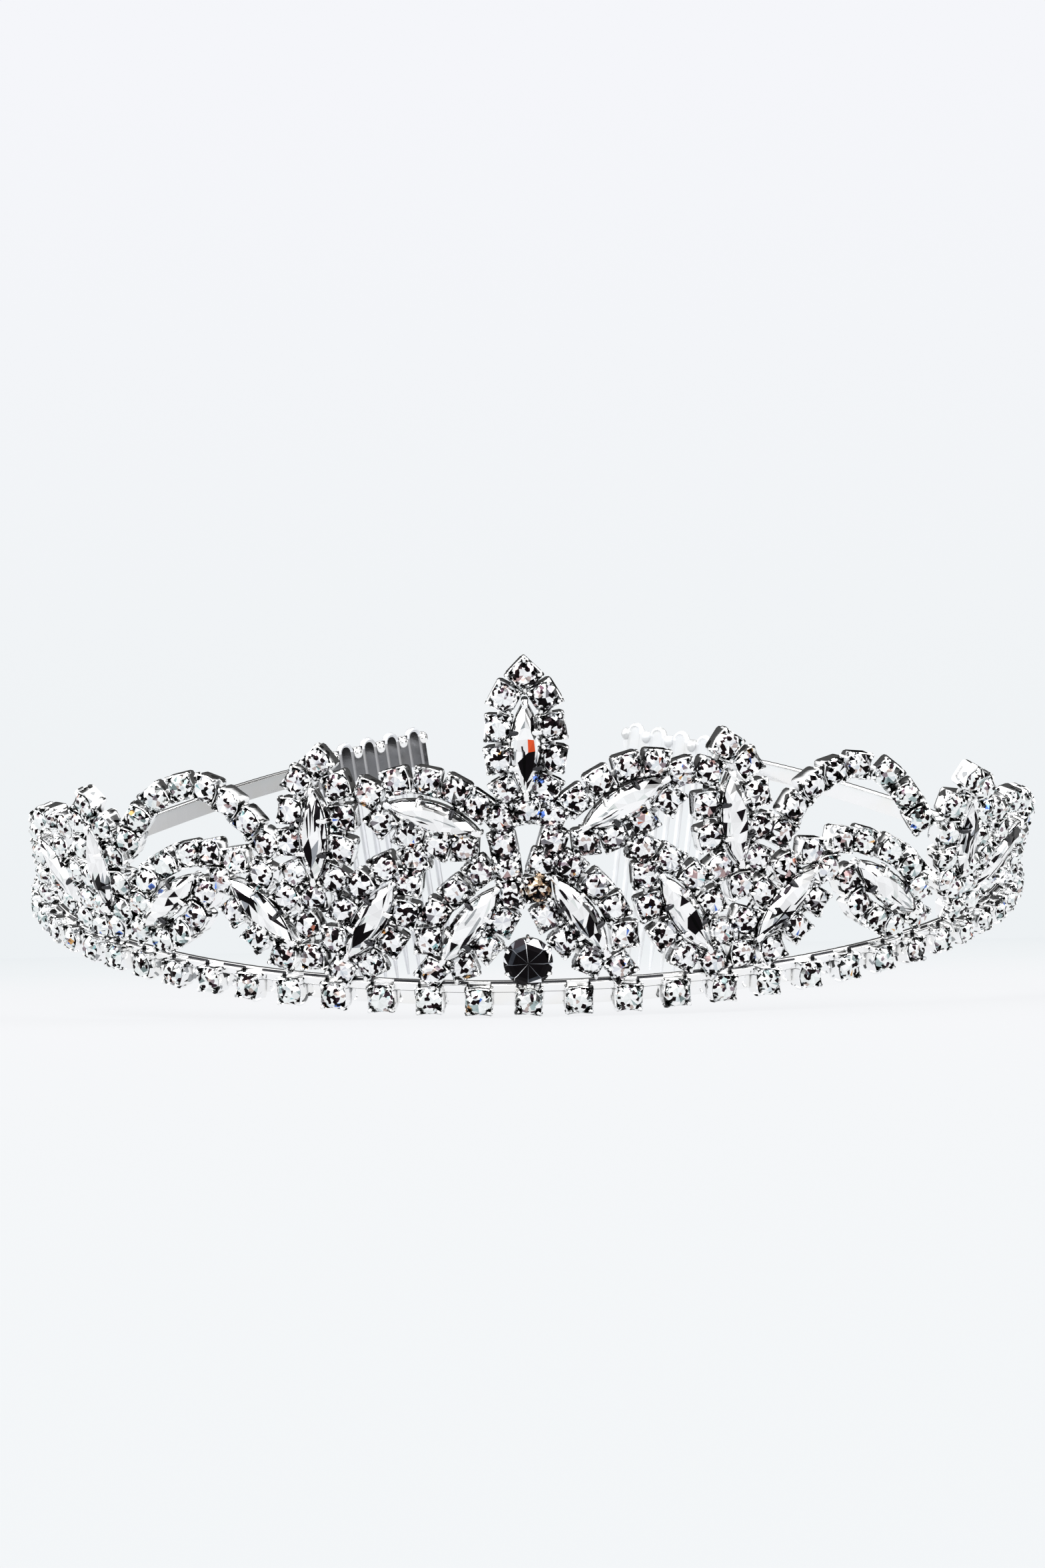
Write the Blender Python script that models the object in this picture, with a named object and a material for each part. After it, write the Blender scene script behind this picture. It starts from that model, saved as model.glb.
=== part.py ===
"""Bridal tiara: a flat horseshoe headband on two side combs, edged with a spaced rhinestone chain.

A lattice of bent cup chains and marquise stones stands on the front of the band. Lengths are in
millimetres and become metres when a mesh is made. A place on the lattice is (s, h, out): s runs
along the band from the front centre, h stands up from the middle of the band, and out is the
distance in front of the surface that the stones are set on.
"""

from math import atan2, ceil, cos, hypot, pi, radians, sin

import bmesh
import bpy
from mathutils import Vector

MM = 0.001

# Headband seen from above: a front arc, a tighter arc at each side and a straight arm to each comb.
FRONT_RADIUS = 72.0
FRONT_ANGLE = radians(70)
SIDE_RADIUS = 30.0
ARM_ANGLE = radians(132)
BAND_HALF_LENGTH = 184.0
BAND_TILT = radians(15)
ARM_RISE, ARM_RISE_FROM, ARM_RISE_OVER = 7.0, 75.0, 85.0
BAND_LOW, BAND_HIGH = -0.95, 2.05
BAND_BACK, BAND_FRONT = -2.1, -1.3
BAND_STEP = 6.0

# The outer motifs lean away from the band, less on the left.
LEFT_LEAN, RIGHT_LEAN = 0.24, 0.36
LEAN_FROM, LEAN_TO = 42.0, 56.0

# Spaced chain along the band.
BASE_PITCH = 6.0
BASE_CUPS_PER_SIDE = 16
BASE_CUP = dict(length=3.2, width=3.3, back=-1.0, front=1.3, crown=0.6)
BASE_LINK = dict(width=0.8, back=-0.8, front=-0.2, shift=1.0)

# Close chain that the lattice is bent from.
CUP = dict(length=2.3, width=2.4, back=-1.2, front=0.9, crown=0.6)
LINK = dict(width=0.9, back=-0.9, front=-0.2, shift=0.0)
CHAIN_PITCH = 3.6

# Marquise stones in their settings, as half sizes.
STONE_LENGTH, STONE_WIDTH = 5.4, 1.35
SETTING_LENGTH, SETTING_WIDTH, SETTING_WALL = 5.8, 1.6, 0.15
SETTING_BACK, SETTING_FLOOR, SETTING_RIM = -1.2, -0.9, 0.4
LENS_POINTS_PER_SIDE = 6
# The stone's section: how much of its size it has at each level, from the back point to the table.
STONE_PROFILE = ((0.45, -0.7), (1.0, 0.5), (1.0, 0.7), (0.55, 1.5))

# Large round stone over the middle of the band.
ROUND_RADIUS, ROUND_CUP_RADIUS, ROUND_HEIGHT = 2.95, 3.05, 5.1
ROUND_CUP_WALL, ROUND_CUP_BACK, ROUND_CUP_FLOOR, ROUND_CUP_RIM = 0.2, -1.2, -0.9, 0.8
ROUND_PROFILE = ((0.4, -0.75), (0.93, 0.9), (0.93, 1.1), (0.55, 2.0))
ROUND_SIDES = 16

# Side combs.
COMB_END, COMB_LOOPS, COMB_LOOP_PITCH = 184.0, 5, 5.3
COMB_THICKNESS, COMB_TOOTH = 0.9, 1.1
COMB_OUT, COMB_TOP, COMB_BOTTOM = -3.2, 2.9, -3.4
COMB_LOOP_RISE, COMB_TIP_SHARE, COMB_END_INSET = 1.4, 0.6, 0.1
COMB_LEAN = radians(9)


# ---------------------------------------------------------------- the surface the lattice follows

def smooth(t):
    t = min(1.0, max(0.0, t))
    return t * t * (3 - 2 * t)


def band_plan(s):
    """x, y and heading of the band's centre line at s, in the band's own plane."""
    side = -1.0 if s < 0 else 1.0
    run = abs(s)
    front_length = FRONT_RADIUS * FRONT_ANGLE
    side_length = SIDE_RADIUS * (ARM_ANGLE - FRONT_ANGLE)
    heading = min(run, front_length) / FRONT_RADIUS
    x = FRONT_RADIUS * sin(heading)
    y = FRONT_RADIUS * (1 - cos(heading))
    if run > front_length:
        turn = min(run - front_length, side_length) / SIDE_RADIUS
        x += SIDE_RADIUS * (sin(heading + turn) - sin(heading))
        y += SIDE_RADIUS * (cos(heading) - cos(heading + turn))
        heading += turn
    if run > front_length + side_length:
        straight = run - front_length - side_length
        x += straight * cos(heading)
        y += straight * sin(heading)
    return side * x, y, side * heading


def place(s, h, out=0.0):
    """The point at (s, h, out). The whole band is tilted up towards the combs."""
    x, y, heading = band_plan(s)
    full_lean = LEFT_LEAN if s < 0 else RIGHT_LEAN
    lean = full_lean * smooth((abs(s) - LEAN_FROM) / (LEAN_TO - LEAN_FROM))
    out += lean * max(0.0, h - BAND_HIGH)
    h += ARM_RISE * smooth((abs(s) - ARM_RISE_FROM) / ARM_RISE_OVER)
    x += out * sin(heading)
    y -= out * cos(heading)
    return Vector((x, y * cos(BAND_TILT) - h * sin(BAND_TILT), y * sin(BAND_TILT) + h * cos(BAND_TILT)))


def axes(s, h):
    """Unit vectors along the band, up the lattice and out of its face."""
    step = 0.2
    along = (place(s + step, h) - place(s - step, h)).normalized()
    up = (place(s, h + step) - place(s, h - step)).normalized()
    out = along.cross(up).normalized()
    return along, out.cross(along), out


# ---------------------------------------------------------------- where the stones of a chain sit

def ellipse_stops(centre, angle, half_length, half_width, count, first, kept, way=1):
    """kept of count even stops round an ellipse, from stop first counted from its far tip."""
    fine = 720
    reach = [0.0]
    for k in range(fine):
        a, b = 2 * pi * k / fine, 2 * pi * (k + 1) / fine
        step = hypot(half_length * (cos(b) - cos(a)), half_width * (sin(b) - sin(a)))
        reach.append(reach[-1] + step)
    stops = []
    for k in range(kept):
        wanted = (first + k) / count % 1.0 * reach[-1]
        i = next(n for n, r in enumerate(reach) if r >= wanted)
        turn = 2 * pi * i / fine
        u = half_length * cos(turn)
        v = half_width * sin(turn) * way
        tilt = radians(angle)
        stops.append((centre[0] + u * cos(tilt) - v * sin(tilt), centre[1] + u * sin(tilt) + v * cos(tilt)))
    return stops


def curve_stops(points, pitch):
    """Even stops along a smooth curve through the points."""
    ends = [tuple(2 * a - b for a, b in zip(points[0], points[1]))]
    tail = [tuple(2 * a - b for a, b in zip(points[-1], points[-2]))]
    knots = ends + list(points) + tail
    fine = []
    for i in range(1, len(knots) - 2):
        p0, p1, p2, p3 = knots[i - 1:i + 3]
        for k in range(24):
            t = k / 24
            fine.append(tuple(
                0.5 * (2 * b + (c - a) * t + (2 * a - 5 * b + 4 * c - d) * t * t
                       + (3 * b - 3 * c + d - a) * t ** 3)
                for a, b, c, d in zip(p0, p1, p2, p3)))
    fine.append(points[-1])
    reach = [0.0]
    for a, b in zip(fine, fine[1:]):
        reach.append(reach[-1] + hypot(b[0] - a[0], b[1] - a[1]))
    spaces = max(1, round(reach[-1] / pitch))
    stops = []
    for k in range(spaces + 1):
        i = min(range(len(reach)), key=lambda n: abs(reach[n] - reach[-1] * k / spaces))
        stops.append(fine[i])
    return stops


# ---------------------------------------------------------------- objects and materials

def clear_scene():
    for obj in list(bpy.data.objects):
        bpy.data.objects.remove(obj)


def material(name, colour, roughness, metallic):
    mat = bpy.data.materials.new(name)
    mat.use_nodes = True
    shader = mat.node_tree.nodes["Principled BSDF"]
    shader.inputs["Base Color"].default_value = (*colour, 1)
    shader.inputs["Roughness"].default_value = roughness
    shader.inputs["Metallic"].default_value = metallic
    return mat


def silver(name):
    return material(name, (0.86, 0.87, 0.88), 0.18, 1.0)


def crystal(name):
    return material(name, (0.88, 0.90, 0.93), 0.05, 0.0)


def add_object(name, verts, faces, mat):
    """One closed body from points in millimetres."""
    mesh = bpy.data.meshes.new(name)
    mesh.from_pydata([Vector(v) * MM for v in verts], [], faces)
    bm = bmesh.new()
    bm.from_mesh(mesh)
    bmesh.ops.recalc_face_normals(bm, faces=bm.faces)
    bm.to_mesh(mesh)
    bm.free()
    mesh.materials.append(mat)
    obj = bpy.data.objects.new(name, mesh)
    bpy.context.scene.collection.objects.link(obj)
    return obj


def loft(rings, closed=False):
    """Faces between rings of equal size, with end caps unless closed."""
    size = len(rings[0])
    verts = [v for ring in rings for v in ring]
    count = len(rings)
    faces = []
    for r in range(count if closed else count - 1):
        here, there = r * size, (r + 1) % count * size
        for k in range(size):
            nxt = (k + 1) % size
            faces.append((here + k, here + nxt, there + nxt, there + k))
    if not closed:
        faces.append(tuple(range(size)))
        faces.append(tuple((count - 1) * size + k for k in range(size)))
    return verts, faces


# ---------------------------------------------------------------- headband and base chain

def headband():
    half = ceil(BAND_HALF_LENGTH / BAND_STEP - 0.5)
    marks = [BAND_STEP * (k + 0.5) for k in range(-half - 1, half + 1)]
    marks = [min(BAND_HALF_LENGTH, max(-BAND_HALF_LENGTH, s)) for s in marks]
    marks = sorted(set(marks))
    corners = (
        (BAND_LOW, BAND_BACK), (BAND_LOW, BAND_FRONT),
        (BAND_HIGH, BAND_FRONT), (BAND_HIGH, BAND_BACK))
    rings = [[place(s, h, out) for h, out in corners] for s in marks]
    add_object("headband", *loft(rings), silver("headband_silver"))


def base_chain():
    count = BASE_CUPS_PER_SIDE
    stops = [(k * BASE_PITCH, 0.0) for k in range(-count, count + 1)]
    chain("base_chain", stops, False, BASE_CUP, BASE_LINK)


# ---------------------------------------------------------------- cup chains

def box_ring(centre, along, side, out, offset, size):
    """Four corners of a chain's section at offset along it."""
    middle = centre + along * offset + side * size.get("shift", 0.0)
    half = side * (size["width"] / 2)
    low, high = out * size["back"], out * size["front"]
    return [middle - half + low, middle + half + low, middle + half + high, middle - half + high]


def chain(name, stops, closed=False, cup=CUP, link=LINK):
    """Square cups joined by narrow links, with each stone's crown as a low point on its cup."""
    count = len(stops)
    rings, centres = [], []
    for k, (s, h) in enumerate(stops):
        before = stops[k - 1] if k or closed else stops[k]
        after = stops[(k + 1) % count] if k < count - 1 or closed else stops[k]
        length = hypot(after[0] - before[0], after[1] - before[1])
        ds, dh = (after[0] - before[0]) / length, (after[1] - before[1]) / length
        t, u, out = axes(s, h)
        along = t * ds + u * dh
        side = out.cross(along)
        centre = place(s, h)
        reach = cup["length"] / 2
        for offset, size in ((-reach, link), (-reach, cup), (reach, cup), (reach, link)):
            rings.append(box_ring(centre, along, side, out, offset, size))
        centres.append(centre + out * (cup["front"] + cup["crown"]))
    if not closed:
        rings = rings[1:-1]
    verts, faces = loft(rings, closed)
    return add_object(name, *crowned(verts, faces, centres, 1 if closed else 0), silver(name + "_silver"))


def crowned(verts, faces, tops, first):
    """Swap each cup's front face for four faces that meet at its stone's top."""
    for k, top in enumerate(tops):
        ring = (first + 4 * k) * 4
        front = {ring + 2, ring + 3, ring + 6, ring + 7}
        face = next(f for f in faces if set(f) == front)
        faces.remove(face)
        verts.append(top)
        faces += [(a, b, len(verts) - 1) for a, b in zip(face, face[1:] + face[:1])]
    return verts, faces


# ---------------------------------------------------------------- marquise leaves

def lens_outline(half_length, half_width):
    """Points round a marquise: two arcs that meet in a point at each end."""
    radius = (half_length ** 2 + half_width ** 2) / (2 * half_width)
    spread = atan2(half_length, radius - half_width)
    points = []
    for side in (1, -1):
        for k in range(LENS_POINTS_PER_SIDE):
            turn = spread * (1 - 2 * k / LENS_POINTS_PER_SIDE)
            points.append((side * radius * sin(turn), side * (radius * cos(turn) - radius + half_width)))
    return points


def leaf_frame(centre, angle):
    along, up, out = axes(*centre)
    tilt = radians(angle)
    length = along * cos(tilt) + up * sin(tilt)
    return place(*centre), length, out.cross(length), out


def lens_ring(frame, half_length, half_width, level):
    origin, length, side, out = frame
    return [origin + length * u + side * v + out * level for u, v in lens_outline(half_length, half_width)]


def marquise(name, centre, angle):
    """A marquise stone and the open cup that it sits in."""
    frame = leaf_frame(centre, angle)
    inner = SETTING_LENGTH - 2 * SETTING_WALL, SETTING_WIDTH - SETTING_WALL
    rings = [
        lens_ring(frame, SETTING_LENGTH, SETTING_WIDTH, SETTING_BACK),
        lens_ring(frame, SETTING_LENGTH, SETTING_WIDTH, SETTING_RIM),
        lens_ring(frame, *inner, SETTING_RIM),
        lens_ring(frame, *inner, SETTING_FLOOR),
    ]
    add_object(name + "_setting", *loft(rings), silver(name + "_setting_silver"))
    rings = [
        lens_ring(frame, STONE_LENGTH * scale, STONE_WIDTH * scale, level)
        for scale, level in STONE_PROFILE
    ]
    add_object(name + "_stone", *loft(rings), crystal(name + "_crystal"))


# ---------------------------------------------------------------- round stone

def disc_ring(frame, radius, level):
    origin, along, up, out = frame
    turns = [2 * pi * k / ROUND_SIDES for k in range(ROUND_SIDES)]
    return [origin + along * radius * cos(a) + up * radius * sin(a) + out * level for a in turns]


def round_stone():
    spot = (0.0, ROUND_HEIGHT)
    frame = (place(*spot), *axes(*spot))
    outer, inner = ROUND_CUP_RADIUS, ROUND_CUP_RADIUS - ROUND_CUP_WALL
    wall = (
        (outer, ROUND_CUP_BACK), (outer, ROUND_CUP_RIM),
        (inner, ROUND_CUP_RIM), (inner, ROUND_CUP_FLOOR))
    rings = [disc_ring(frame, radius, level) for radius, level in wall]
    add_object("round_stone_cup", *loft(rings), silver("round_stone_cup_silver"))
    rings = [disc_ring(frame, ROUND_RADIUS * share, level) for share, level in ROUND_PROFILE]
    add_object("round_stone", *loft(rings), crystal("round_stone_crystal"))


# ---------------------------------------------------------------- side combs

def comb_outline(tooth_length):
    """Looped top edge and evenly spaced teeth, as (distance along, height) round the comb."""
    loops = []
    reach = COMB_LOOP_PITCH / 2
    for k in range(COMB_LOOPS):
        middle = (k + 0.5) * COMB_LOOP_PITCH
        for turn in (165, 120, 90, 60, 15):
            rise = COMB_LOOP_RISE * sin(radians(turn))
            loops.append((middle + reach * cos(radians(turn)), COMB_TOP + rise))
    teeth = []
    root_half, tip_half = COMB_TOOTH / 2, COMB_TOOTH / 2 * COMB_TIP_SHARE
    tip = COMB_BOTTOM - tooth_length
    for k in reversed(range(2 * COMB_LOOPS)):
        middle = (k + 0.5) * COMB_LOOP_PITCH / 2
        teeth += [
            (middle + root_half, COMB_BOTTOM), (middle + tip_half, tip),
            (middle - tip_half, tip), (middle - root_half, COMB_BOTTOM)]
    teeth[0] = (COMB_LOOPS * COMB_LOOP_PITCH - COMB_END_INSET, COMB_BOTTOM)
    teeth[-1] = (COMB_END_INSET, COMB_BOTTOM)
    return loops + teeth


def comb(name, side):
    """A comb on the inside of one arm. Its first tooth is as long as the drop to the table."""
    start = side * (COMB_END - COMB_LOOPS * COMB_LOOP_PITCH)
    origin = place(start, 0.0, COMB_OUT)
    along, up, out = axes(start, 0.0)
    along *= side
    rise = up * cos(COMB_LEAN) + out * sin(COMB_LEAN)
    face = along.cross(rise).normalized() * (COMB_THICKNESS / 2)
    tooth = (origin.z - floor_level()) / rise.z + COMB_BOTTOM + along.z * COMB_TOOTH
    outline = comb_outline(tooth)
    rings = [[origin + along * u + rise * v + face * turn for u, v in outline] for turn in (-1, 1)]
    add_object(name, *loft(rings), silver(name + "_silver"))


def floor_level():
    """The lowest corner of the front cup, which stands on the table."""
    return place(0.0, -BASE_CUP["width"] / 2, BASE_CUP["front"]).z


# ---------------------------------------------------------------- the lattice

def leaf_stops(centre, angle, half_length, half_width):
    """Ten stops right round a leaf, with one at each tip."""
    return ellipse_stops(centre, angle, half_length, half_width, 10, 0, 10)


def centre_motif():
    chain("centre_top_chain", leaf_stops((0.2, 31.3), 90, 8.1, 3.2), closed=True)
    marquise("centre_top", (0.2, 30.6), 90)
    chain("left_centre_chain", [
        (-7.2, 18.8), (-10.6, 19.1), (-13.9, 20.3), (-17.2, 21.9), (-18.8, 25.2), (-15.2, 26.7), (-11.5, 26.8),
        (-8.2, 25.7), (-5.6, 23.9), (-2.9, 22.2), (-2.7, 19.2), (-2.2, 16.3), (-1.9, 13.2), (-2.9, 9.9),
        (-5.0, 6.7), (-7.8, 4.3), (-11.5, 3.6), (-11.9, 7.4), (-10.9, 10.8), (-8.4, 13.5), (-5.5, 15.9)])
    marquise("left_wing", (-10.9, 22.4), 163)
    marquise("left_centre", (-6.9, 9.4), 53)
    chain("right_centre_chain", [
        (7.1, 19.3), (10.5, 19.8), (14.0, 21.5), (17.2, 23.8), (18.8, 27.0), (15.7, 28.3), (12.2, 28.0),
        (8.9, 26.4), (6.0, 24.3), (3.2, 22.5), (3.2, 19.5), (1.9, 16.8), (1.3, 13.8), (2.3, 10.4),
        (4.5, 7.3), (7.4, 4.7), (11.0, 3.8), (11.6, 7.7), (10.4, 11.1), (8.2, 13.9), (5.2, 16.3)])
    marquise("right_wing", (11.8, 23.8), 28)
    marquise("right_centre", (6.3, 10.4), -57)


def front_motif_left():
    chain("left_front_top_chain", leaf_stops((-25.6, 20.4), 86, 8.3, 3.5), closed=True)
    marquise("left_front_top", (-25.7, 19.7), 89)
    inner = ellipse_stops((-18.9, 9.8), -121, 7.4, 3.5, 9, -4, 9)
    chain("left_front_inner_chain", [(-13.3, 17.4)] + inner)
    marquise("left_front_inner", (-18.9, 9.7), 57)
    outer = ellipse_stops((-32.9, 9.9), -40, 8.1, 3.5, 9, 0, 9)
    chain("left_front_outer_chain", outer, closed=True)
    marquise("left_front_outer", (-33.3, 9.9), -39)


def front_motif_right():
    chain("right_front_top_chain", leaf_stops((25.4, 21.2), 96, 8.7, 3.4), closed=True)
    marquise("right_front_top", (25.5, 20.8), 96)
    inner = ellipse_stops((19.0, 10.0), -60, 7.5, 3.5, 9, -4, 9, way=-1)
    chain("right_front_inner_chain", [(13.9, 18.1)] + inner)
    marquise("right_front_inner", (19.0, 9.9), -58)
    outer = ellipse_stops((32.4, 9.6), -137, 8.0, 3.5, 9, 0, 9)
    chain("right_front_outer_chain", outer, closed=True)
    marquise("right_front_outer", (32.4, 9.7), 43)


def side_motif(side, name, top_height, top_angle):
    """The fleur on the outer part of one side, whose lower leaves also lean on the two side arches."""
    chain(name + "_top_chain", leaf_stops((side * 57.9, top_height), top_angle, 8.2, 3.2), closed=True)
    marquise(name + "_top", (side * 57.9, top_height - 0.2), top_angle)
    marquise(name + "_inner", (side * 47.5, 9.6), -side * 40)
    outer = [(71.6, 9.0), (69.0, 6.4), (65.5, 4.6), (61.9, 4.1), (63.1, 7.6), (64.6, 11.0), (67.0, 13.9)]
    chain(name + "_outer_chain", [(side * s, h) for s, h in outer])
    marquise(name + "_outer", (side * 68.1, 10.3), 90 - side * 45)


def arches():
    chain("left_big_arch", curve_stops([
        (-32.4, 18.2), (-35.3, 20.9), (-38.4, 23.1), (-42.0, 24.4), (-46.7, 23.6), (-50.3, 20.0), (-52.1, 17.0)],
        CHAIN_PITCH))
    chain("right_big_arch", curve_stops([
        (31.9, 18.4), (33.4, 21.0), (36.0, 23.4), (39.4, 25.0), (43.0, 25.4), (46.4, 24.2), (48.8, 21.0),
        (50.4, 18.2)], CHAIN_PITCH))
    for side, name in ((-1, "left_small_arch"), (1, "right_small_arch")):
        points = [
            (40.9, 16.4), (44.3, 15.8), (47.7, 14.3), (50.5, 11.9), (52.2, 8.7), (53.1, 5.0), (49.5, 4.2),
            (46.4, 5.6), (43.6, 7.9), (42.0, 11.2)]
        chain(name, [(side * s, h) for s, h in points])
    for side, name in ((-1, "left_end_arch"), (1, "right_end_arch")):
        points = [
            (64.1, 17.3), (67.6, 17.6), (71.1, 16.9), (74.0, 14.7), (75.8, 11.4), (77.5, 8.1), (79.4, 4.8)]
        chain(name, [(side * s, h) for s, h in points])


# ---------------------------------------------------------------- assembly

def rest_on_origin():
    """Moves everything so that the bounding box stands centred on the origin."""
    corners = [v.co for obj in bpy.data.objects for v in obj.data.vertices]
    low = [min(c[k] for c in corners) for k in range(3)]
    high = [max(c[k] for c in corners) for k in range(3)]
    shift = Vector((-(low[0] + high[0]) / 2, -(low[1] + high[1]) / 2, -low[2]))
    for obj in bpy.data.objects:
        for vertex in obj.data.vertices:
            vertex.co += shift


def build():
    clear_scene()
    headband()
    base_chain()
    centre_motif()
    front_motif_left()
    front_motif_right()
    side_motif(-1, "left_side", 12.9, 90)
    side_motif(1, "right_side", 15.0, 106)
    arches()
    round_stone()
    comb("left_comb", -1)
    comb("right_comb", 1)
    rest_on_origin()


build()
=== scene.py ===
"""The looks of a bridal tiara: claw-set rhinestone chains, marquise stones, a silver band and wire combs."""
from math import atan2, ceil, cos, hypot, pi, radians, sin, sqrt
from random import Random

import bmesh
import bpy
import numpy as np
from mathutils import Matrix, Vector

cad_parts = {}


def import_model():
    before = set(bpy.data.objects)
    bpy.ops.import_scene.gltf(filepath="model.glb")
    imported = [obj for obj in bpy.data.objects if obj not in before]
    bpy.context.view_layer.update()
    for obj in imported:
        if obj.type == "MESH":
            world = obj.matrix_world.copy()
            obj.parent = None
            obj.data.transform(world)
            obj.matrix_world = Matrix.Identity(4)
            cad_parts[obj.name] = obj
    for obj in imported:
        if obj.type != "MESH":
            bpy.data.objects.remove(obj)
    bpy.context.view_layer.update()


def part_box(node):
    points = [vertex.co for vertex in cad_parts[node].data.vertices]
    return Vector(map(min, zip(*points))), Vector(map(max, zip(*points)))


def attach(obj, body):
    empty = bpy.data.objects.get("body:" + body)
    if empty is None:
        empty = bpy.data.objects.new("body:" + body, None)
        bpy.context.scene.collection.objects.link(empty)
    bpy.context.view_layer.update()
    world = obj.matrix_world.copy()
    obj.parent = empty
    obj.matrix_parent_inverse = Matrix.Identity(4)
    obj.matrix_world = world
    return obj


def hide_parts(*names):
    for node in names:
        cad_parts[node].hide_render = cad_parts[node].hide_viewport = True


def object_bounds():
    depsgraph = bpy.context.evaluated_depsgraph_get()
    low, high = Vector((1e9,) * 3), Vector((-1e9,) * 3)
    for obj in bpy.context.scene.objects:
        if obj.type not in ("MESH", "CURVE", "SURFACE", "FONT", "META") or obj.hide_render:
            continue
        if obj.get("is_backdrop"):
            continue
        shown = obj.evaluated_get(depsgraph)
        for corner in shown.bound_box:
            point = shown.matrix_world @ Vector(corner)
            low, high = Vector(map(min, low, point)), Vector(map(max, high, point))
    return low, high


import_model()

MM = 0.001

# The band's plan and tilt, and the lean of the side motifs, as in the CAD, in millimetres.
FRONT_RADIUS, FRONT_ANGLE = 72.0, radians(70)
SIDE_RADIUS, ARM_ANGLE = 30.0, radians(132)
BAND_REACH, BAND_TILT, BAND_STEP = 184.0, radians(15), 6.0
ARM_RISE, ARM_RISE_FROM, ARM_RISE_OVER = 7.0, 75.0, 85.0
BAND_LOW, BAND_HIGH, BAND_BACK, BAND_FRONT = -0.95, 2.05, -2.1, -1.3
LEFT_LEAN, RIGHT_LEAN, LEAN_FROM, LEAN_TO = 0.24, 0.36, 42.0, 56.0

BASE_PITCH, CUPS_PER_SIDE = 6.0, 16
CHAIN_PITCH = 3.6
ROUND_HEIGHT = 5.1
COMB_END, COMB_LOOPS, LOOP_PITCH, COMB_OUT = 184.0, 5, 5.3, -3.2
COMB_TOP, COMB_BOTTOM, COMB_TOOTH_WIDTH, COMB_LEAN = 2.9, -3.4, 1.1, radians(9)
COMB_WIRE = 0.48
# Painted shade on the combs: how much of its brightness each part of a comb keeps, on the left (-1) and on
# the right (1).
COMB_SHADE = {-1: (0.33, 0.33, 0.34), 1: (0.70, 0.71, 0.72)}
TOOTH_SHADE = {-1: (0.70, 0.71, 0.73), 1: (0.86, 0.87, 0.88)}
BEAD_SHADE = {-1: (1.0, 1.0, 1.0), 1: (0.74, 0.75, 0.76)}
# Painted shade on the left arm: how much of its brightness it loses, and from where and over what length it
# does.
ARM_SHADE, ARM_SHADE_FROM, ARM_SHADE_OVER = 0.46, 80.0, 60.0
FRONT_CUP_HALF, FRONT_CUP_FACE = 1.65, 1.3
# The size of every cup and stone of the chains, against the template's.
CUP_SIZE = 1.18
# How far round the band the stones' painted reflections turn paler, and the place of the one brown stone.
PALE_FROM, BROWN_STONE = 44.0, (1.3, 13.8)

# Facet tints, which paint the stones' reflections: how often each is drawn, and its colour.
ROUND_REFLECTIONS = (
    (80, (0.98, 0.99, 1.0)), (6, (0.74, 0.75, 0.80)), (2, (0.22, 0.21, 0.23)), (8, (0.004, 0.002, 0.003)),
    (3, (0.48, 0.34, 0.34)))
PALE_REFLECTIONS = (
    (91, (0.97, 1.0, 0.99)), (6, (0.42, 0.52, 0.52)), (2, (0.22, 0.28, 0.28)), (1, (0.004, 0.004, 0.004)))
# Painted fire: coloured flecks that now and then stand in for a facet's reflection.
FIRE_FLECKS = ((1, (0.75, 0.42, 0.16)), (2, (0.10, 0.20, 0.62)), (1, (0.50, 0.18, 0.12)), (1, (0.36, 0.60, 0.62)))
FLECK_CHANCE, TINT_LIFT = 0.012, (0.82, 1.05)
LONG_REFLECTIONS = (
    (90, (1.0, 1.0, 1.0)), (5, (0.82, 0.86, 0.84)), (1, (0.34, 0.36, 0.37)), (4, (0.006, 0.004, 0.006)))
BROWN_REFLECTIONS = (
    (5, (0.62, 0.45, 0.30)), (3, (0.90, 0.86, 0.80)), (2, (0.25, 0.15, 0.09)), (2, (0.03, 0.02, 0.02)))
BLACK, WHITE, GREY = (0.003, 0.002, 0.003), (0.97, 0.98, 1.0), (0.35, 0.37, 0.40)
# A tint that leaves a face as it is, and a near-black one painted on faces as shade behind the link bars and
# as dark reflections on some marquise claws.
BRIGHT, PAINTED_DARK = (1.0, 1.0, 1.0), (0.05, 0.05, 0.055)
# Edges softer than this are shaded smooth, on the cups, settings and links and on the band and combs.
SETTING_SMOOTH, BAND_SMOOTH = radians(35), radians(40)


# ------ the surface that the lattice follows

def smooth(t):
    """An eased step from 0 to 1 as t goes from 0 to 1."""
    t = min(1.0, max(0.0, t))
    return t * t * (3 - 2 * t)


def band_plan(s):
    """x, y and heading of the band's centre line at s, in the band's own plane."""
    side = -1.0 if s < 0 else 1.0
    run = abs(s)
    front_length = FRONT_RADIUS * FRONT_ANGLE
    side_length = SIDE_RADIUS * (ARM_ANGLE - FRONT_ANGLE)
    heading = min(run, front_length) / FRONT_RADIUS
    x = FRONT_RADIUS * sin(heading)
    y = FRONT_RADIUS * (1 - cos(heading))
    if run > front_length:
        turn = min(run - front_length, side_length) / SIDE_RADIUS
        x += SIDE_RADIUS * (sin(heading + turn) - sin(heading))
        y += SIDE_RADIUS * (cos(heading) - cos(heading + turn))
        heading += turn
    if run > front_length + side_length:
        straight = run - front_length - side_length
        x += straight * cos(heading)
        y += straight * sin(heading)
    return side * x, y, side * heading


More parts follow.
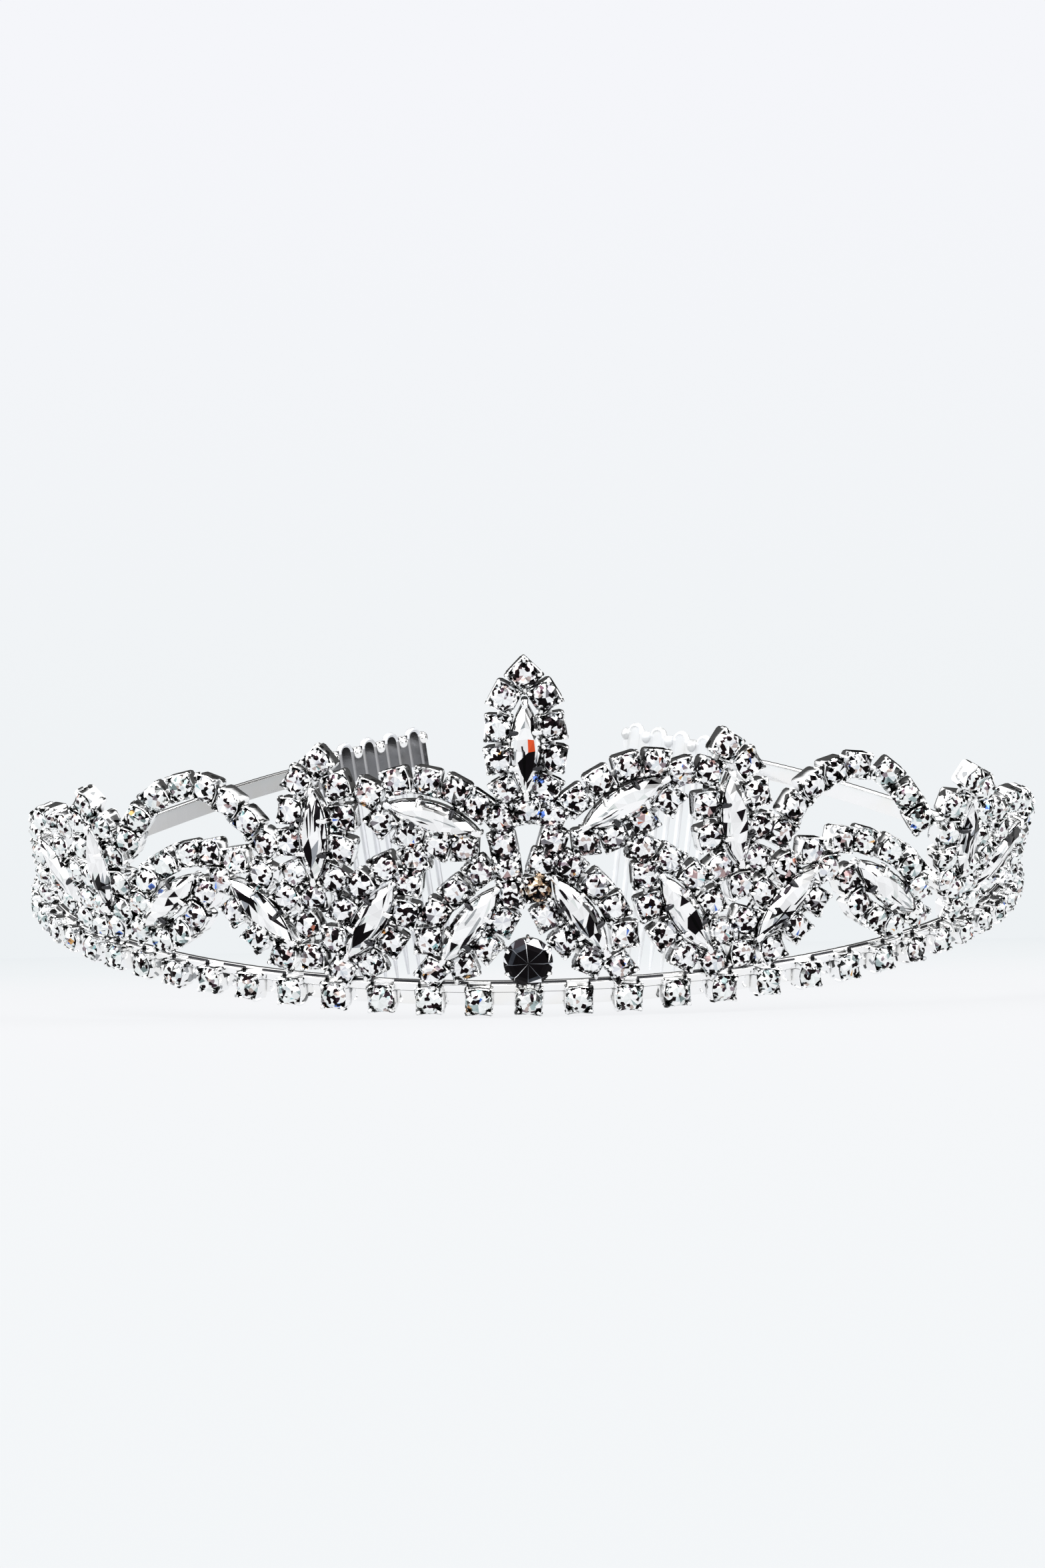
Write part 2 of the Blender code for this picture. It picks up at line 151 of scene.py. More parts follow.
def place(s, h, out=0.0):
    """The point at s along the band, h above its middle and out in front of the lattice's surface."""
    x, y, heading = band_plan(s)
    full_lean = LEFT_LEAN if s < 0 else RIGHT_LEAN
    lean = full_lean * smooth((abs(s) - LEAN_FROM) / (LEAN_TO - LEAN_FROM))
    out += lean * max(0.0, h - BAND_HIGH)
    h += ARM_RISE * smooth((abs(s) - ARM_RISE_FROM) / ARM_RISE_OVER)
    x += out * sin(heading)
    y -= out * cos(heading)
    return np.array((x, y * cos(BAND_TILT) - h * sin(BAND_TILT), y * sin(BAND_TILT) + h * cos(BAND_TILT)))


def unit(v):
    return v / np.linalg.norm(v)


def axes(s, h):
    """Unit vectors along the band, up the lattice and out of its face."""
    step = 0.2
    along = unit(place(s + step, h) - place(s - step, h))
    up = unit(place(s, h + step) - place(s, h - step))
    out = unit(np.cross(along, up))
    return along, np.cross(out, along), out


def frame_shift():
    """How far the CAD model was moved to stand on its origin."""
    half = ceil(BAND_REACH / BAND_STEP - 0.5)
    marks = np.clip(BAND_STEP * np.arange(-half - 0.5, half + 1), -BAND_REACH, BAND_REACH)
    edges = [(h, out) for h in (BAND_LOW, BAND_HIGH) for out in (BAND_BACK, BAND_FRONT)]
    corners = [place(s, h, out) for s in marks for h, out in edges]
    return np.array(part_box("headband")[0]) / MM - np.min(corners, axis=0)


# ------ shapes

class Shape:
    """Points in millimetres, faces, and a tint for each face."""

    def __init__(self):
        self.points, self.faces, self.tints, self.count = [], [], [], 0

    def add(self, points, faces, tints=BRIGHT):
        """Adds faces, with a list of their tints or one tint for them all."""
        self.points.append(np.asarray(points, float))
        self.faces += [tuple(i + self.count for i in face) for face in faces]
        self.tints += tints if isinstance(tints, list) else [tints] * len(faces)
        self.count += len(points)
        return self

    def put(self, other, seat, size=1.0):
        """Adds another shape, drawn in x, y, z, on a seat's axes."""
        origin, x_axis, y_axis, z_axis = seat
        local = np.concatenate(other.points) * size
        world = origin + local[:, :1] * x_axis + local[:, 1:2] * y_axis + local[:, 2:] * z_axis
        return self.add(world, other.faces, other.tints)


def loft(rings):
    """Points and faces between rings of equal size, with a cap at each end."""
    size, count = len(rings[0]), len(rings)
    faces = []
    for r in range(count - 1):
        here, there = r * size, (r + 1) * size
        for k in range(size):
            after = (k + 1) % size
            faces.append((here + k, here + after, there + after, there + k))
    faces.append(tuple(reversed(range(size))))
    faces.append(tuple((count - 1) * size + k for k in range(size)))
    return np.concatenate(rings), faces


def tube(path, radius, sides=8, flat=1.0, up=(0.0, 0.0, 1.0)):
    """A wire along a path. The radius is one number, or one for each point of the path."""
    path = np.asarray(path, float)
    radii = np.broadcast_to(radius, len(path))
    rings = []
    for k, point in enumerate(path):
        before = path[max(0, k - 1)]
        after = path[min(len(path) - 1, k + 1)]
        along = unit(after - before)
        across = unit(np.cross(along, up))
        lift = np.cross(across, along)
        turns = [2 * pi * n / sides for n in range(sides)]
        rings.append(np.array([point + radii[k] * (across * cos(a) + lift * flat * sin(a)) for a in turns]))
    return loft(rings)


def spots(radius, level, turns):
    """Points at one level, at the given turns round a circle."""
    return [(radius * cos(turn), radius * sin(turn), level) for turn in turns]


def circle(radius, level, count, lag=0.0):
    """Even points round a circle at one level, the first of them lag steps on from the x axis."""
    return spots(radius, level, [2 * pi * (k + lag) / count for k in range(count)])


def turned(seat, rise, tilt, spin):
    """A seat raised along its out axis, tilted a little and spun about that axis."""
    origin, x_axis, y_axis, z_axis = seat
    z_new = unit(z_axis + tilt[0] * x_axis + tilt[1] * y_axis)
    x_new = unit(x_axis * cos(spin) + y_axis * sin(spin))
    x_new = unit(x_new - z_new * np.dot(x_new, z_new))
    return origin + rise * z_axis, x_new, np.cross(z_new, x_new), z_new


# ------ where the stones of a chain sit

def ellipse_stops(centre, angle, half_length, half_width, count, first, kept, way=1):
    """kept of count even stops round an ellipse, from stop first counted from its far tip."""
    fine = 720
    reach = [0.0]
    for k in range(fine):
        a, b = 2 * pi * k / fine, 2 * pi * (k + 1) / fine
        step = hypot(half_length * (cos(b) - cos(a)), half_width * (sin(b) - sin(a)))
        reach.append(reach[-1] + step)
    stops = []
    for k in range(kept):
        wanted = (first + k) / count % 1.0 * reach[-1]
        i = next(n for n, r in enumerate(reach) if r >= wanted)
        turn = 2 * pi * i / fine
        u = half_length * cos(turn)
        v = half_width * sin(turn) * way
        tilt = radians(angle)
        stops.append((centre[0] + u * cos(tilt) - v * sin(tilt), centre[1] + u * sin(tilt) + v * cos(tilt)))
    return stops


def curve_points(points, per_span=24):
    """A smooth curve through the points, per_span steps from each to the next."""
    first = tuple(2 * a - b for a, b in zip(points[0], points[1]))
    last = tuple(2 * a - b for a, b in zip(points[-1], points[-2]))
    knots = [first] + list(points) + [last]
    fine = []
    for i in range(1, len(knots) - 2):
        p0, p1, p2, p3 = knots[i - 1:i + 3]
        for k in range(per_span):
            t = k / per_span
            fine.append(tuple(
                0.5 * (2 * b + (c - a) * t + (2 * a - 5 * b + 4 * c - d) * t * t
                       + (3 * b - 3 * c + d - a) * t ** 3)
                for a, b, c, d in zip(p0, p1, p2, p3)))
    return fine + [points[-1]]


def curve_stops(points, pitch):
    """Even stops along a smooth curve through the points."""
    fine = curve_points(points)
    reach = [0.0]
    for a, b in zip(fine, fine[1:]):
        reach.append(reach[-1] + hypot(b[0] - a[0], b[1] - a[1]))
    spaces = max(1, round(reach[-1] / pitch))
    stops = []
    for k in range(spaces + 1):
        i = min(range(len(reach)), key=lambda n: abs(reach[n] - reach[-1] * k / spaces))
        stops.append(fine[i])
    return stops


def leaf_stops(centre, angle, half_length, half_width):
    """Ten stops right round a leaf, with one at each tip."""
    return ellipse_stops(centre, angle, half_length, half_width, 10, 0, 10)


def mirrored(stops, side):
    return [(side * s, h) for s, h in stops]


def side_chains(side, name, top_height, top_angle):
    """The chains of the outer fleur on one side."""
    outer = [(71.6, 9.0), (69.0, 6.4), (65.5, 4.6), (61.9, 4.1), (63.1, 7.6), (64.6, 11.0), (67.0, 13.9)]
    return {
        name + "_side_top_chain": (leaf_stops((side * 57.9, top_height), top_angle, 8.2, 3.2), True),
        name + "_side_outer_chain": (mirrored(outer, side), False)}


def arch_chains(side, name, big):
    """The three arches on one side."""
    small = [
        (40.9, 16.4), (44.3, 15.8), (47.7, 14.3), (50.5, 11.9), (52.2, 8.7), (53.1, 5.0), (49.5, 4.2),
        (46.4, 5.6), (43.6, 7.9), (42.0, 11.2)]
    end = [(64.1, 17.3), (67.6, 17.6), (71.1, 16.9), (74.0, 14.7), (75.8, 11.4), (77.5, 8.1), (79.4, 4.8)]
    return {
        name + "_big_arch": (curve_stops(big, CHAIN_PITCH), False),
        name + "_small_arch": (mirrored(small, side), False),
        name + "_end_arch": (mirrored(end, side), False)}


def lattice_chains():
    """Every chain of the lattice: the (s, h) of its stones, and whether it closes on itself."""
    chains = {
        "centre_top_chain": (leaf_stops((0.2, 31.3), 90, 8.1, 3.2), True),
        "left_centre_chain": ([
            (-7.2, 18.8), (-10.6, 19.1), (-13.9, 20.3), (-17.2, 21.9), (-18.8, 25.2), (-15.2, 26.7),
            (-11.5, 26.8), (-8.2, 25.7), (-5.6, 23.9), (-2.9, 22.2), (-2.7, 19.2), (-2.2, 16.3),
            (-1.9, 13.2), (-2.9, 9.9), (-5.0, 6.7), (-7.8, 4.3), (-11.5, 3.6), (-11.9, 7.4),
            (-10.9, 10.8), (-8.4, 13.5), (-5.5, 15.9)], False),
        "right_centre_chain": ([
            (7.1, 19.3), (10.5, 19.8), (14.0, 21.5), (17.2, 23.8), (18.8, 27.0), (15.7, 28.3), (12.2, 28.0),
            (8.9, 26.4), (6.0, 24.3), (3.2, 22.5), (3.2, 19.5), (1.9, 16.8), (1.3, 13.8), (2.3, 10.4),
            (4.5, 7.3), (7.4, 4.7), (11.0, 3.8), (11.6, 7.7), (10.4, 11.1), (8.2, 13.9), (5.2, 16.3)],
            False),
        "left_front_top_chain": (leaf_stops((-25.6, 20.4), 86, 8.3, 3.5), True),
        "left_front_inner_chain": (
            [(-13.3, 17.4)] + ellipse_stops((-18.9, 9.8), -121, 7.4, 3.5, 9, -4, 9), False),
        "left_front_outer_chain": (ellipse_stops((-32.9, 9.9), -40, 8.1, 3.5, 9, 0, 9), True),
        "right_front_top_chain": (leaf_stops((25.4, 21.2), 96, 8.7, 3.4), True),
        "right_front_inner_chain": (
            [(13.9, 18.1)] + ellipse_stops((19.0, 10.0), -60, 7.5, 3.5, 9, -4, 9, way=-1), False),
        "right_front_outer_chain": (ellipse_stops((32.4, 9.6), -137, 8.0, 3.5, 9, 0, 9), True)}
    chains.update(side_chains(-1, "left", 12.9, 90))
    chains.update(side_chains(1, "right", 15.0, 106))
    chains.update(arch_chains(-1, "left", [
        (-32.4, 18.2), (-35.3, 20.9), (-38.4, 23.1), (-42.0, 24.4), (-46.7, 23.6), (-50.3, 20.0),
        (-52.1, 17.0)]))
    chains.update(arch_chains(1, "right", [
        (31.9, 18.4), (33.4, 21.0), (36.0, 23.4), (39.4, 25.0), (43.0, 25.4), (46.4, 24.2), (48.8, 21.0),
        (50.4, 18.2)]))
    return chains


# Each marquise: where its middle is and the angle it stands at.
LEAVES = {
    "centre_top": ((0.2, 30.6), 90),
    "left_wing": ((-10.9, 22.4), 163),
    "left_centre": ((-6.9, 9.4), 53),
    "right_wing": ((11.8, 23.8), 28),
    "right_centre": ((6.3, 10.4), -57),
    "left_front_top": ((-25.7, 19.7), 89),
    "left_front_inner": ((-18.9, 9.7), 57),
    "left_front_outer": ((-33.3, 9.9), -39),
    "right_front_top": ((25.5, 20.8), 96),
    "right_front_inner": ((19.0, 9.9), -58),
    "right_front_outer": ((32.4, 9.7), 43),
    "left_side_top": ((-57.9, 12.7), 90),
    "left_side_inner": ((-47.5, 9.6), 40),
    "left_side_outer": ((-68.1, 10.3), 135),
    "right_side_top": ((57.9, 14.8), 106),
    "right_side_inner": ((47.5, 9.6), -40),
    "right_side_outer": ((68.1, 10.3), 45)}


# ------ materials

# How much finer the silver's burnished grain is than its wear, and the scale of the wear on the stones.
GRAIN_SCALE, STONE_WEAR = 14, 600.0


class Tree:
    """A node tree, built a node at a time."""

    def __init__(self, tree):
        self.nodes, self.links = tree.nodes, tree.links

    def feed(self, node, inputs):
        """Sets each input of a node, or links it from the output given for it."""
        for name, value in inputs.items():
            if isinstance(value, bpy.types.NodeSocket):
                self.links.new(value, node.inputs[name])
            else:
                node.inputs[name].default_value = value

    def node(self, kind, inputs=None, **settings):
        """A new node with these settings and inputs."""
        node = self.nodes.new("ShaderNode" + kind)
        for name, value in settings.items():
            setattr(node, name, value)
        self.feed(node, inputs or {})
        return node

    def coords(self, kind="Object"):
        return self.node("TexCoord").outputs[kind]

    def facet_tint(self):
        """The tint that a piece's faces carry: painted reflections on the stones, and painted shade and dark
        reflections on some of the metal.
        """
        return self.node("VertexColor", layer_name="facet").outputs["Color"]

    def noise(self, vector, scale, detail=3.0):
        """Cloudy noise over a vector."""
        return self.node("TexNoise", {"Vector": vector, "Scale": scale, "Detail": detail}).outputs["Fac"]

    def ramp(self, factor, stops, interpolation="LINEAR"):
        """A ramp through (position, grey or colour) stops, read at a factor."""
        node = self.node("ValToRGB", {"Fac": factor})
        node.color_ramp.interpolation = interpolation
        elements = node.color_ramp.elements
        while len(elements) < len(stops):
            elements.new(0.5)
        for element, (position, value) in zip(elements, stops):
            element.position = position
            colour = value if isinstance(value, tuple) else (value,) * 3
            element.color = (*colour, 1)
        return node.outputs["Color"]

    def multiply(self, first, second):
        """The product of two colours."""
        inputs = {"Factor": 1.0, "A": first, "B": second}
        return self.node("Mix", inputs, data_type="RGBA", blend_type="MULTIPLY").outputs["Result"]

    def crevice_shade(self, colour, reach, shade_stops):
        """A colour darkened where surfaces meet closely: painted shade in the crevices."""
        hollow = self.node("AmbientOcclusion", {"Distance": reach}, samples=6)
        return self.multiply(colour, self.ramp(hollow.outputs["AO"], shade_stops))

    def shards(self, vector, scale, shades):
        """Sharp-edged cells, each of one shade drawn from (share up to, colour) stops."""
        cells = self.node("TexVoronoi", {"Vector": vector, "Scale": scale})
        pick = self.node("SeparateColor", {"Color": cells.outputs["Color"]})
        return self.ramp(pick.outputs["Red"], shades, "CONSTANT")


def shaded_material(name):
    """A new material, its tree and its shader."""
    mat = bpy.data.materials.new(name)
    mat.use_nodes = True
    return mat, Tree(mat.node_tree), mat.node_tree.nodes["Principled BSDF"]


def silver(name, tone, rough, wear_scale, reach=0.0006, shade_stops=((0.22, 0.02), (0.50, 1.0)), sparks=None):
    """Bright silver plate with a faint yellow bloom, handling marks in its gloss, a fine burnished grain and
    painted shade in its crevices.

    Sparks are the broken reflections of the stones around it."""
    mat, tree, shader = shaded_material(name)
    coords = tree.coords()
    cloud = tree.noise(coords, wear_scale)
    warm = tuple(c * t for c, t in zip(tone, (0.985, 0.975, 0.95)))
    bright = tuple(min(1.0, c * 1.04) for c in tone)
    toned = tree.ramp(cloud, [(0.30, warm), (0.52, tone), (0.80, bright)])
    toned = tree.multiply(toned, tree.facet_tint())
    if sparks:
        toned = tree.multiply(toned, tree.shards(coords, *sparks))
    grain = tree.noise(coords, wear_scale * GRAIN_SCALE, 2.0)
    bump = tree.node("Bump", {"Strength": 0.06, "Distance": 0.00003, "Height": grain})
    tree.feed(shader, {
        "Base Color": tree.crevice_shade(toned, reach, shade_stops), "Normal": bump.outputs["Normal"],
        "Roughness": tree.ramp(cloud, [(0.35, rough), (0.75, rough * 1.9)]),
        "Metallic": 1.0, "Coat Weight": 0.15, "Coat Roughness": 0.04})
    return mat


def crystal(name, rough, shard_scale, shards, stretch=(1.0, 1.0, 1.0)):
    """Foiled glass: facets tinted with painted reflections, each broken up by the sharp painted reflections
    of the facets behind it.

    The shards follow the stone's own axes, kept in its "cut" attribute in millimetres."""
    mat, tree, shader = shaded_material(name)
    cut = tree.node("Attribute", attribute_name="cut")
    stretched = tree.node("VectorMath", {0: cut.outputs["Vector"], 1: stretch}, operation="MULTIPLY")
    pattern = tree.shards(stretched.outputs["Vector"], shard_scale, shards)
    colour = tree.multiply(tree.facet_tint(), pattern)
    cloud = tree.noise(tree.coords(), STONE_WEAR, 2.0)
    # Painted shade where the stones meet their claws and cups.
    tree.feed(shader, {
        "Base Color": tree.crevice_shade(colour, 0.0004, [(0.20, 0.02), (0.50, 1.0)]),
        "Roughness": tree.ramp(cloud, [(0.3, rough), (0.7, rough * 2.5)]),
        "Metallic": 0.98, "Coat Weight": 0.06, "Coat Roughness": 0.02, "Coat IOR": 1.55})
    return mat


SHIFT = frame_shift()
# Every silver is painted with shade in its crevices; the cups' silver also with sparks, painted reflections
# of the stones.
SILVER = silver("polished_silver", (0.98, 0.98, 0.98), 0.06, 220.0)
CUP_SILVER = silver(
    "cup_silver", (0.95, 0.955, 0.96), 0.07, 400.0, reach=0.0008, shade_stops=((0.28, 0.02), (0.56, 1.0)),
    sparks=(1500.0, [(0.0, 0.02), (0.10, (0.36, 0.37, 0.38)), (0.16, 1.0)]))
WIRE_SILVER = silver("wire_silver", (0.94, 0.945, 0.95), 0.42, 260.0, shade_stops=((0.10, 0.75), (0.50, 1.0)))
# A darker silver for the left comb's plate, as painted shade.
SHADED_COMB_SILVER = silver("comb_silver", (0.55, 0.55, 0.56), 0.07, 260.0)
CHATON = crystal("round_crystal", 0.03, 2.5, [
    (0.0, (0.006, 0.002, 0.003)), (0.17, (0.04, 0.02, 0.03)), (0.19, (0.30, 0.24, 0.27)),
    (0.23, 1.0), (0.92, (0.78, 0.82, 0.85)), (0.97, (0.55, 0.45, 0.42))])
# The big round stone's glass; its darkness is painted reflection in its facet tints.
ROUND_STONE_CRYSTAL = crystal("dark_round_crystal", 0.03, 1.0, [(0.0, (0.75, 0.76, 0.78)), (0.30, 1.0)])
NAVETTE = crystal("marquise_crystal", 0.03, 1.9, [
    (0.0, (0.008, 0.006, 0.008)), (0.10, (0.42, 0.44, 0.45)), (0.15, 1.0)],
    stretch=(0.2, 1.8, 0.4))


def shown(name, data):
    """A new object, linked to the scene."""
    obj = bpy.data.objects.new(name, data)
    bpy.context.scene.collection.objects.link(obj)
    return obj


def piece(name, shape, material, node=None, smooth_angle=None, cuts=None):
    """Makes one shown piece from a shape and lets it stand for a CAD node.

    Cuts are its points on the axes of its own stones."""
    mesh = bpy.data.meshes.new(name)
    points = (np.concatenate(shape.points) + SHIFT) * MM
    mesh.from_pydata(points.tolist(), [], shape.faces)
    body = bmesh.new()
    body.from_mesh(mesh)
    bmesh.ops.recalc_face_normals(body, faces=body.faces)
    body.to_mesh(mesh)
    body.free()
    mesh.materials.append(material)
    tint = mesh.color_attributes.new("facet", "FLOAT_COLOR", "CORNER")
    colours = [(*t, 1.0) for t, face in zip(shape.tints, shape.faces) for _ in face]
    tint.data.foreach_set("color", np.array(colours, np.float32).ravel())
    if cuts is not None:
        cut = mesh.attributes.new("cut", "FLOAT_VECTOR", "POINT")
        cut.data.foreach_set("vector", np.asarray(cuts, np.float32).ravel())
    if smooth_angle:
        mesh.shade_smooth()
        mesh.set_sharp_from_angle(angle=smooth_angle)
    mesh.update()
    obj = shown(name, mesh)
    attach(obj, "root")
    if node:
        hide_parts(node)


# ------ claw cups and round stones

CUP_HALF, CUP_BACK, CUP_WALL = 1.4, -1.55, 0.17
LINK_DEPTH, LINK_RADIUS, LINK_FLAT = 0.55, 0.45, 0.7
STONE_RADIUS, STONE_GIRDLE, STONE_TABLE = 1.36, 0.36, 0.98
STONE_SIDES = 16
# How uneven the chains are: the cups' tilt, how far they stand out, their turn in degrees, the stones' tilt.
CUP_SWAY, CUP_RISE, CUP_TWIST, STONE_SWAY = 0.05, 0.06, 4, 0.07
# How far apart a chain's stones lie in their pattern of shards, in millimetres, so that no two look alike.
CUT_SPACING = 7.3


def either_way(rng, most):
    """A random amount, up to most either way."""
    return rng.uniform(-most, most)


def bent_claw(profile, turn, reach=0.0, sides=8):
    """A claw in the upright plane that faces a turn, through (out, up, radius) points."""
    path = [((reach + r) * cos(turn), (reach + r) * sin(turn), z) for r, z, _ in profile]
    return tube(path, [size for *_, size in profile], sides, up=(-sin(turn), cos(turn), 0.0))


def cup_outline(half, corner):
    """Points round a square with rounded corners, each with how near it is to a corner, from 0 to 1."""
    path = []
    for k in range(4):
        turn = pi / 4 + k * pi / 2
        reach = (half - corner) * sqrt(2)
        for swing in (-pi / 4, 0.0, pi / 4):
            x = reach * cos(turn) + corner * cos(turn + swing)
            y = reach * sin(turn) + corner * sin(turn + swing)
            path.append((x, y, 1.0))
        side = turn + pi / 4
        for shift, near in ((-0.55, 0.45), (0.0, 0.0), (0.55, 0.45)):
            slide = shift * (half - corner)
            path.append((half * cos(side) - slide * sin(side), half * sin(side) + slide * cos(side), near))
    return path


def cup_ring(half, corner, low, high):
    """One ring of a cup's wall, low in the middle of each side and high at the corners."""
    return np.array([(x, y, low + (high - low) * near) for x, y, near in cup_outline(half, corner)])


def claw_cup():
    """A square cup with a scooped rim and four claws that bend in over the stone."""
    cup = Shape().add(*loft([
        cup_ring(CUP_HALF * 0.90, 0.3, CUP_BACK, CUP_BACK),
        cup_ring(CUP_HALF, 0.4, CUP_BACK + 0.3, CUP_BACK + 0.3),
        cup_ring(CUP_HALF, 0.4, 0.10, 0.46),
        cup_ring(CUP_HALF - CUP_WALL / 2, 0.36, 0.18, 0.54),
        cup_ring(CUP_HALF - CUP_WALL, 0.3, 0.10, 0.46),
        cup_ring(CUP_HALF - CUP_WALL, 0.3, -0.75, -0.75)]))
    claw = (
        (0.0, -0.3, 0.20), (0.02, 0.25, 0.20), (-0.05, 0.54, 0.20), (-0.26, 0.74, 0.19), (-0.50, 0.78, 0.14))
    for k in range(4):
        cup.add(*bent_claw(claw, pi / 4 + k * pi / 2, CUP_HALF * sqrt(2) - 0.2, sides=6))
    return cup


def draw(table, rng):
    """A tint drawn from a table of (share, tint)."""
    return rng.choices([tint for _, tint in table], [share for share, _ in table])[0]


def shaded(tint, rng, fleck_chance=0.0):
    """A tint a little lighter or darker, or now and then a painted fleck of coloured fire instead."""
    if rng.random() < fleck_chance:
        tint = draw(FIRE_FLECKS, rng)
    lift = rng.uniform(*TINT_LIFT)
    return tuple(min(1.0, c * lift) for c in tint)


def runs(tints, rng, longest):
    """A tint for each side of a stone, in short runs of the same tint."""
    row = []
    while len(row) < STONE_SIDES:
        row += [draw(tints, rng)] * rng.randint(1, longest)
    return row[:STONE_SIDES]


def brilliant(tints, rng):
    """A round brilliant: a table whose wedges are painted with the reflections of the back facets, stars,
    kites and girdle facets.
    """
    inner, middle = 0.56 * STONE_RADIUS, 0.78 * STONE_RADIUS
    star_height = STONE_GIRDLE + 0.58 * (STONE_TABLE - STONE_GIRDLE)
    stars_count = STONE_SIDES // 2
    points = [(0.0, 0.0, STONE_TABLE - 0.10 * STONE_RADIUS), (0.0, 0.0, STONE_GIRDLE - 0.75 * STONE_RADIUS)]
    table = len(points)
    points += circle(inner, STONE_TABLE, STONE_SIDES)
    stars = len(points)
    points += circle(middle, star_height, stars_count, 0.5)
    rim = len(points)
    points += circle(STONE_RADIUS, STONE_GIRDLE, STONE_SIDES)
    belt = len(points)
    points += circle(STONE_RADIUS, STONE_GIRDLE - 0.08, STONE_SIDES)
    faces, shades = [], []
    wedges, crown, edge = runs(tints, rng, 3), runs(tints, rng, 3), runs(tints, rng, 2)
    for k in range(STONE_SIDES):
        after = (k + 1) % STONE_SIDES
        faces.append((0, table + k, table + after))
        faces.append((stars + k // 2, rim + k, rim + after))
        faces.append((rim + k, belt + k, belt + after, rim + after))
        faces.append((belt + k, 1, belt + after))
        shades += [wedges[k], edge[k], GREY, GREY]
    for k in range(stars_count):
        left, right = table + 2 * k, table + (2 * k + 2) % STONE_SIDES
        faces.append((left, stars + k, table + 2 * k + 1))
        faces.append((table + 2 * k + 1, stars + k, right))
        faces.append((left, stars + (k - 1) % stars_count, rim + 2 * k, stars + k))
        shades += [wedges[2 * k], wedges[2 * k + 1], crown[2 * k]]
    return Shape().add(points, faces, [shaded(tint, rng, FLECK_CHANCE) for tint in shades])


def tints_of_stop(stop):
    """One stone is a warm brown; the others are clear, with painted reflections that are paler at the sides
    and on the band.
    """
    if hypot(stop[0] - BROWN_STONE[0], stop[1] - BROWN_STONE[1]) < 0.5:
        return BROWN_REFLECTIONS
    return PALE_REFLECTIONS if abs(stop[0]) > PALE_FROM or stop[1] == 0.0 else ROUND_REFLECTIONS


def chain_seats(stops, closed):
    """Each cup's seat: its place, along the chain, across it and out of its face."""
    seats, count = [], len(stops)
    for k, stop in enumerate(stops):
        before = stops[k - 1] if k or closed else stop
        after = stops[(k + 1) % count] if k < count - 1 or closed else stop
        ds, dh = after[0] - before[0], after[1] - before[1]
        along, up, out = axes(*stop)
        line = unit(along * ds + up * dh)
        seats.append((place(*stop), line, np.cross(out, line), out))
    return seats


CUP_TEMPLATE = claw_cup()


def chain(name, stops, closed, links=True):
    """A chain's claw cups and links as one piece, and its stones as another."""
    rng = Random(name)
    metal, stones, cuts = Shape(), Shape(), []
    seats = chain_seats(stops, closed)
    for k, (stop, seat) in enumerate(zip(stops, seats)):
        corner_up = pi / 4 if closed and k == 0 else 0.0
        tilt = either_way(rng, CUP_SWAY), either_way(rng, CUP_SWAY)
        rise, twist = either_way(rng, CUP_RISE), either_way(rng, CUP_TWIST)
        seat = turned(seat, rise, tilt, corner_up + radians(twist))
        metal.put(CUP_TEMPLATE, seat, CUP_SIZE)
        cut = brilliant(tints_of_stop(stop), rng)
        tilt = either_way(rng, STONE_SWAY), either_way(rng, STONE_SWAY)
        stones.put(cut, turned(seat, 0.0, tilt, rng.uniform(0, pi / 4)), CUP_SIZE)
        cuts.append(np.concatenate(cut.points) + (CUT_SPACING * k, 0.0, 0.0))
    if links:
        pairs = list(zip(seats, seats[1:])) + ([(seats[-1], seats[0])] if closed else [])
        for here, there in pairs:
            path = [here[0] - LINK_DEPTH * here[3], there[0] - LINK_DEPTH * there[3]]
            metal.add(*tube(path, LINK_RADIUS, flat=LINK_FLAT, up=here[3]))
    piece(name + "_cups", metal, CUP_SILVER, name, SETTING_SMOOTH)
    piece(name + "_stones", stones, CHATON, cuts=np.concatenate(cuts))


# ------ marquise stones

SETTING_EDGE, CLAW_FLAT = 1.62, 0.62
MARQUISE_HALF_LENGTH, MARQUISE_HALF_WIDTH, MARQUISE_TABLE, MARQUISE_CULET = 5.7, 1.78, 1.57, -0.7
MARQUISE_SIDES, MARQUISE_SWAY = 6, (0.02, 0.06)
# How far a marquise's keel wanders along it and across it, and how high it stands over the table.
KEEL_WANDER, KEEL_RISE = (0.3, 0.35), (0.02, 0.16)
# A marquise's dark facets, painted dark reflections: how far they lie along it, and how often they come on
# the table and beside it.
DARK_FROM, DARK_TO, DARK_ON_TABLE, DARK_BESIDE = 0.5, 3.4, 0.85, 0.4
DARK_REFLECTIONS = ((7, BLACK), (2, GREY), (1, WHITE))
# Which end of its length each marquise is painted dark towards; the others have no dark end.
DARK_ENDS = {
    "centre_top": -1, "left_front_top": -1, "left_front_outer": -1, "left_front_inner": -1,
    "left_side_top": -1, "right_front_outer": -1, "right_centre": 1, "right_front_inner": 1,
    "right_side_top": 1}
# The painted flash of fire: the marquise it is in, its colour and how far along it reaches.
FLASH_IN, FLASH, FLASH_LENGTH = "centre_top", (0.80, 0.10, 0.03), 1.5
# The marquises' shards come from places this far apart or less in one pattern, in millimetres.
PATTERN_LENGTH = 900


def lens_outline(half_length, half_width, per_side=12):
    """Points round a marquise: two arcs that meet in a point at each end."""
    radius = (half_length ** 2 + half_width ** 2) / (2 * half_width)
    spread = atan2(half_length, radius - half_width)
    points = []
    for side in (1, -1):
        for k in range(per_side):
            turn = spread * (1 - 2 * k / per_side)
            points.append((side * radius * sin(turn), side * (radius * cos(turn) - radius + half_width)))
    return points


def lens_ring(half_length, half_width, level):
    return np.array([(u, v, level) for u, v in lens_outline(half_length, half_width)])


